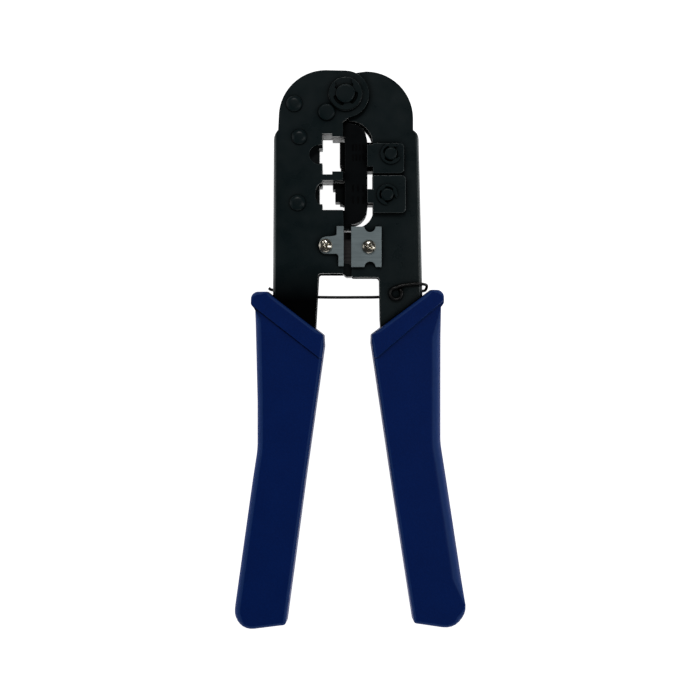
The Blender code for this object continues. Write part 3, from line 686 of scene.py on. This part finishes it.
def clip_outline(centre, groove, outer, opening):
    """E-shaped retaining ring whose three lobes grip the groove; it is open towards one side."""
    gap = 33.0
    lobes = (72.0, 180.0, 288.0)
    lobe_half = 13.0
    lobe_slope = 9.0
    points = arc(centre, outer, opening + gap, opening + 360.0 - gap, 48)
    for i in range(61):
        local = 360.0 - gap * 1.25 - (360.0 - gap * 2.5) * i / 60
        nearest = min(abs(local - lobe) for lobe in lobes)
        swell = min(1.0, max(0.0, (nearest - lobe_half) / lobe_slope))
        swell = swell * swell * (3 - 2 * swell)
        radius = groove + 0.12 + (outer - groove) * 0.52 * swell
        angle = math.radians(opening + local)
        points.append((centre[0] + radius * math.cos(angle), centre[1] + radius * math.sin(angle)))
    return points


def make_clip(name, node, centre, groove, outer, opening, low, high, body):
    """Retaining ring."""
    clip = prism(name, clip_outline(centre, groove, outer, opening), low, high)
    finish_edges(clip, 0.09)
    settle(clip, body, [node], RIVET_BLACK)


def pin_profile(radius, top, groove, groove_low, groove_high, head, head_top, end):
    """Pin with a flat chamfered end, a clip groove, and a wide head at its back."""
    return [
        (0, top), (radius - 0.62, top), (radius - 0.46, top), (radius - 0.12, top - 0.14),
        (radius, top - 0.40), (radius, groove_high), (groove, groove_high),
        (groove, groove_low), (radius, groove_low), (radius, head_top),
        (head - 0.1, head_top), (head, head_top - 0.1), (head, end + 0.3), (head - 0.12, end + 0.1),
        (head - 0.4, end), (0, end),
    ]


def make_pivot():
    """Hinge pin and its clip."""
    groove = PIN_R - 0.6
    profile = pin_profile(PIN_R, 11.9, groove, 10.6, 11.2, 4.8, -HEAD_LOW, -BACK)
    pin = lathe("pivot_pin_piece", profile, (0, 0), 64)
    finish_edges(pin, 0)
    settle(pin, "left_handle", ["pivot_pin"], RIVET_BLACK)
    make_clip("pivot_clip_piece", "pivot_e_clip", (0, 0), groove, 5.5, 100.0, 10.65, 11.15, "left_handle")


def make_ram_pin(size, centre, opening):
    """Ram pin and its clip."""
    groove = RAM_PIN_R - 0.5
    profile = pin_profile(RAM_PIN_R, 11.1, groove, 9.95, 10.6, 3.0, -HEAD_LOW, -10.8)
    pin = lathe(f"ram_{size}_pin_piece", profile, centre)
    finish_edges(pin, 0)
    settle(pin, f"ram_{size}_body", [f"ram_{size}_pin"], RIVET_BLACK)
    name = f"ram_{size}_clip_piece"
    make_clip(name, f"ram_{size}_e_clip", centre, groove, 3.5, opening, 10.0, 10.45, f"ram_{size}_body")


def make_rivet(node, centre, head, domed):
    """Rivet with a set head at the front, domed or flat, and a plain one at the back."""
    top = HEAD_LOW + RIVET_HEIGHT
    if domed:
        profile = [(0, top), (head * 0.46, top), (head * 0.56, top - 0.03), (head * 0.70, top - 0.13)]
        profile += [(head * 0.88, top - 0.40), (head * 0.97, top - 0.60), (head, top - 0.72)]
    else:
        profile = [(0, top), (head - 0.65, top), (head - 0.5, top - 0.01), (head - 0.14, top - 0.16)]
        profile += [(head, top - 0.38)]
    profile += [(head, HEAD_LOW), (RIVET_SHANK_R, HEAD_LOW), (RIVET_SHANK_R, -HEAD_LOW)]
    profile += [(head, -HEAD_LOW), (head, -top + 0.35)]
    profile += [(head - 0.12, -top + 0.12), (head - 0.4, -top), (0, -top)]
    rivet = lathe(f"{node}_piece", profile, centre)
    finish_edges(rivet, 0)
    settle(rivet, "left_handle", [node], RIVET_BLACK)


def on_wire_eye(angle):
    """Point of the lock wire's eye at an angle, in degrees."""
    return arc(WIRE_EYE, WIRE_EYE_R, angle, angle, 1)[0]


def join(piece, other):
    """Add another object's mesh to a piece."""
    mesh = bmesh.new()
    mesh.from_mesh(piece.data)
    mesh.from_mesh(other.data)
    mesh.to_mesh(piece.data)
    mesh.free()
    bpy.data.objects.remove(other)


def make_lock_wire():
    """Wire from its hole in the right plate, with a flat end under it, round an eye and across the mouth."""
    height = INNER_HIGH + GAP + WIRE_R
    x, y = on_wire_eye(WIRE_HOLE_ANGLE)
    points = [(x, y, INNER_LOW), (x, y, INNER_HIGH - 0.5), (x, y, INNER_HIGH)]
    points += [(x + 0.02, y - 0.03, height - 0.3), (x + 0.09, y - 0.10, height - 0.08)]
    start = WIRE_HOLE_ANGLE - 8.0
    turn = start + 270.0
    steps = 48
    for i in range(steps + 1):
        points.append((*on_wire_eye(start - turn * i / steps), height))
    route = [points[-1], (18.6, -65.2, height), (21.0, -64.8, height), (24.6, -64.5, height - 0.2)]
    route += [(27.3, -64.7, height - 1.8), (27.9, -65.3, 4.0), (27.5, -66.4, 0.9), (26.3, -66.7, 0.0)]
    route += [(23.5, -66.8, 0.0), (18.0, -67.7, 0.0), (12.0, -68.7, 0.0), (4.0, -68.85, 0.0)]
    route += [(-6.0, -68.85, 0.0), (-12.0, -68.6, 0.0), (-18.0, -67.4, 0.0), (-23.5, -66.5, 0.0)]
    route += [(-25.7, -66.2, 0.0), (-26.5, -65.6, 0.0)]
    wire = tube("lock_wire_piece", points[:-1] + smooth_path(route, 220), WIRE_R)
    low, high = 4.7, 5.6
    flat = [(0, high), (1.1, high), (1.3, high - 0.2), (1.3, low + 0.2), (1.1, low), (0, low)]
    join(wire, lathe("lock_wire_end", flat, (x, y), 32))
    finish_edges(wire, 0)
    settle(wire, "right_handle", ["lock_wire"], WIRE)


def make_return_spring():
    """Torsion spring round the pivot pin."""
    radius = 4.4
    per_turn = 40
    steps = int(5.375 * per_turn)
    half_height = 3.9
    leg = 24.5
    last = math.radians(180.0 - 360.0 * steps / per_turn)
    short_leg = [(-4.0, -8.9, half_height), (-4.05, -5.5, half_height), (-4.3, -2.2, half_height)]
    points = smooth_path(short_leg, 12)
    for i in range(steps + 1):
        angle = math.pi - 2 * math.pi * i / per_turn
        height = half_height * (1 - 2 * i / steps)
        points.append((radius * math.cos(angle), radius * math.sin(angle), height))
    x, y, height = points[-1]
    for i in range(1, 13):
        reach = leg * i / 12
        points.append((x + reach * math.sin(last), y - reach * math.cos(last), height))
    spring = tube("return_spring_piece", points, 0.55, 14)
    finish_edges(spring, 0)
    settle(spring, "left_handle", ["return_spring"], WIRE)


def make_marks(name, centre, groups, ticks):
    """Dark ticks on the guide plate in two groups, with one tick for each contact of the plug."""
    verts = []
    faces = []
    wide, tall = 0.30, 1.15
    low, high = INNER_HIGH - 0.1, INNER_HIGH + 0.1
    for y in groups:
        for i in range(ticks):
            x = centre + 3.5 * (i / (ticks - 1) - 0.5)
            base = len(verts)
            for height, shrink in ((low, 0.0), (high, 0.06)):
                for sx, sy in ((-1, -1), (1, -1), (1, 1), (-1, 1)):
                    verts.append((x + sx * (wide - shrink), y + sy * (tall - shrink), height))
            faces.append((base + 4, base + 5, base + 6, base + 7))
            faces.append((base + 3, base + 2, base + 1, base))
            faces += [(base + i, base + (i + 1) % 4, base + 4 + (i + 1) % 4, base + 4 + i) for i in range(4)]
    marks = new_piece(name, verts, faces)
    settle(marks, "left_handle", [], MARK)


# ---------------------------------------------------------------- assembly

def make_object():
    """Refined CAD nodes and the pieces that stand for the others."""
    refine("left_frame", LEFT_BLACK, 0.4)
    refine("right_frame", BLACK, 0.3)
    refine("die_block", BLOCK, 0.12)
    for name in ("ram_guide_front", "ram_guide_back"):
        refine(name, GUIDE, 0.3)
    for size in ("8p", "6p"):
        refine(f"ram_{size}", GUIDE, 0.06)
        refine(f"ram_{size}_plate_front", BLACK, 0.22)
        refine(f"ram_{size}_plate_back", BLACK, 0.22)
    refine("pivot_washer", BLACK, 0.12)
    for name in ("stripper_blade", "cutter_plate", "cutting_blade"):
        refine(name, BLADE, 0.12)
    refine("inner_blade", SHADED_INNER_BLADE, 0.12)
    make_pivot()
    make_ram_pin("8p", PIN_8P, 15.0)
    make_ram_pin("6p", PIN_6P, -54.0)
    make_rivet("rivet_top_left", (-17.4, -3.3), 2.7, True)
    make_rivet("rivet_spring_anchor", (-6.4, -6.15), 2.8, False)
    make_rivet("rivet_middle", (-15.7, -14.6), 2.55, True)
    make_rivet("rivet_lower", (-16.3, -37.0), 2.7, True)
    make_screw(
        "stripper_screw_piece", "stripper_screw", STRIPPER_SCREW, HEAD_LOW + 1.2, -OUTER_HIGH, 20.0,
        "left_handle",
    )
    make_screw(
        "cutter_screw_piece", "cutter_screw", CUTTER_SCREW, OUTER_LOW + 1.4, -INNER_HIGH, 62.0,
        "right_handle",
    )
    make_lock_wire()
    make_return_spring()
    make_marks("port_marks_8p", 4.3, (-17.95, -21.35), 4)
    make_marks("port_marks_6p", 4.3, (-31.85, -35.9), 3)
    left_pocket = pocket_corners()
    make_grip(
        "left_grip_piece", left_grip_corners(), LEFT_COLLAR,
        left_pocket, OUTER_HIGH + 2 * GRIP_FIT, -1.0, 2.4, "left_handle",
    )
    make_grip(
        "right_grip_piece", right_grip_corners(), RIGHT_COLLAR,
        right_hand(left_pocket), INNER_HIGH + GAP, 1.0, 3.7, "right_handle",
    )


def softbox(name, place, width, height, power):
    """Rectangular soft light that points at the tool."""
    light = bpy.data.lights.new(name, "AREA")
    light.shape = "RECTANGLE"
    light.size = width
    light.size_y = height
    light.energy = power
    obj = bpy.data.objects.new(name, light)
    obj.location = place
    obj.rotation_euler = (-Vector(place)).to_track_quat("-Z", "Y").to_euler()
    bpy.context.scene.collection.objects.link(obj)


def make_studio():
    """Pale floor, soft lights and the camera above."""
    scene = bpy.context.scene
    scene.view_settings.view_transform = "Standard"
    bpy.ops.mesh.primitive_plane_add(size=6.0)
    floor = bpy.context.object
    floor.name = "floor"
    material = bpy.data.materials.new("floor_white")
    material.use_nodes = True
    shader = material.node_tree.nodes["Principled BSDF"]
    shader.inputs["Base Color"].default_value = (0.8, 0.8, 0.8, 1)
    shader.inputs["Roughness"].default_value = 0.9
    shader.inputs["Specular IOR Level"].default_value = 0.1
    shader.inputs["Emission Color"].default_value = (1, 1, 1, 1)
    shader.inputs["Emission Strength"].default_value = 1.0
    floor.data.materials.append(material)
    world = bpy.data.worlds.new("studio")
    world.use_nodes = True
    scene.world = world
    tree = world.node_tree
    seen = tree.nodes.new("ShaderNodeLightPath")
    level = tree.nodes.new("ShaderNodeMapRange")
    level.inputs["To Min"].default_value = 0.03
    level.inputs["To Max"].default_value = 0.95
    tree.links.new(seen.outputs["Is Camera Ray"], level.inputs["Value"])
    tree.links.new(level.outputs["Result"], tree.nodes["Background"].inputs["Strength"])
    tree.nodes["Background"].inputs["Color"].default_value = (1, 1, 1, 1)
    softbox("key_top", (-0.04, 0.52, 0.74), 0.14, 0.14, 1.15)
    softbox("strip_right", (0.46, -0.05, 0.62), 0.12, 0.8, 0.9)
    softbox("fill_left", (-0.85, 0.10, 0.30), 0.45, 0.9, 0.8)
    softbox("fill_front", (0.10, -0.90, 0.30), 0.9, 0.4, 0.6)
    camera_data = bpy.data.cameras.new("camera")
    camera_data.lens = 90.0
    camera_data.sensor_width = 36.0
    camera_data.clip_start = 0.01
    camera = bpy.data.objects.new("camera", camera_data)
    camera.location = (-0.00002, 0.00005, 0.6157)
    scene.collection.objects.link(camera)
    scene.camera = camera


make_object()
make_studio()
bpy.context.view_layer.update()
